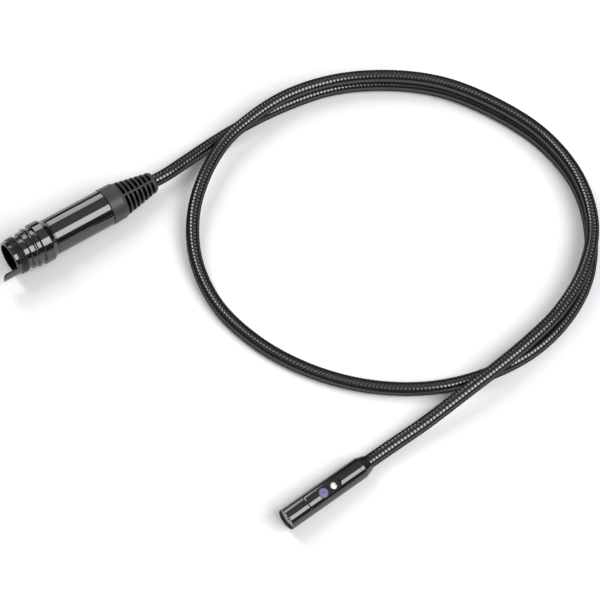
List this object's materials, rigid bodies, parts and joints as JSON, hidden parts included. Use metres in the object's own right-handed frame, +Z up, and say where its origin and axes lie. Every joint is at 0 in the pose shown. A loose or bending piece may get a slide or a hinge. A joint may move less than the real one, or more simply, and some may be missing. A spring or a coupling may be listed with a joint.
{
  "type": "inspection camera probe",
  "caption": "Detachable inspection camera: a keyed round plug with a slotted strain relief, a ribbed gooseneck cable in a loose loop, and a slim head with a front lens and a side lens.",
  "frame": {"origin": "centre of the plug's mouth, in the plane of its rim", "axes": "+Z up, with the part lying on a flat surface; the plug points towards -X and leans 4 degrees, its cable end down; the loop and the head lie towards -Y, and the head rests on its tail with its front 4 degrees up"},
  "size_m": [0.2271, 0.1725, 0.0198],
  "materials": {
    "gloss_black": "gloss",
    "head_black": "gloss",
    "boot_rubber": "matte",
    "seal_rubber": "satin",
    "sheath_black": "satin",
    "wire_jacket": "matte",
    "contact_metal": "polished",
    "steel": "brushed",
    "board_green": "satin",
    "insulator": "matte",
    "sensor_dark": "satin",
    "flex_amber": "gloss",
    "window_glass": "clear",
    "lens_coated": "coated",
    "led_white": "gloss"
  },
  "bodies": {
    "plug": {"plug_shell": "gloss_black", "nose_seal": "seal_rubber", "contact_block": "insulator", "contact_sockets": "contact_metal", "contact_board": "board_green", "lock_collar": "gloss_black", "barrel": "gloss_black", "rear_bush": "steel", "cable_ferrule": "steel", "strain_boot": "boot_rubber", "sheath_lead": "sheath_black", "wires_lead": "wire_jacket"},
    "cable": {"sheath_loop": "sheath_black", "wires_loop": "wire_jacket"},
    "neck": {"sheath_neck": "sheath_black", "wires_neck": "wire_jacket"},
    "head": {"front_cap": "head_black", "front_glass": "window_glass", "front_seal": "seal_rubber", "front_lens": "sensor_dark", "ring_board": "board_green", "front_leds": "led_white", "front_sensor": "sensor_dark", "front_flex": "flex_amber", "head_tube": "head_black", "side_tray": "insulator", "side_lens": "lens_coated", "side_sensor": "sensor_dark", "side_led": "led_white", "head_board": "board_green", "head_ferrule": "steel", "tail_cone": "head_black", "sheath_tip": "sheath_black", "wires_tip": "wire_jacket"}
  },
  "joints": [
    {"name": "lead_bend", "type": "hinge", "parent": "plug", "child": "cable", "pos_m": [0.0845, 0.001, -0.0063], "axis": [0, 0, 1], "range_deg": [-30, 40], "deforming": ["sheath_lead", "wires_lead"]},
    {"name": "neck_swing", "type": "hinge", "parent": "cable", "child": "neck", "pos_m": [0.106, -0.156, -0.0047], "axis": [0, 0, 1], "range_deg": [-30, 45], "deforming": ["sheath_neck", "wires_neck"]},
    {"name": "neck_lift", "type": "hinge", "parent": "neck", "child": "head", "pos_m": [0.08, -0.1562, -0.0074], "axis": [-0.0593, 0.9982, 0], "range_deg": [0, 45], "deforming": ["sheath_tip", "wires_tip"]}
  ]
}
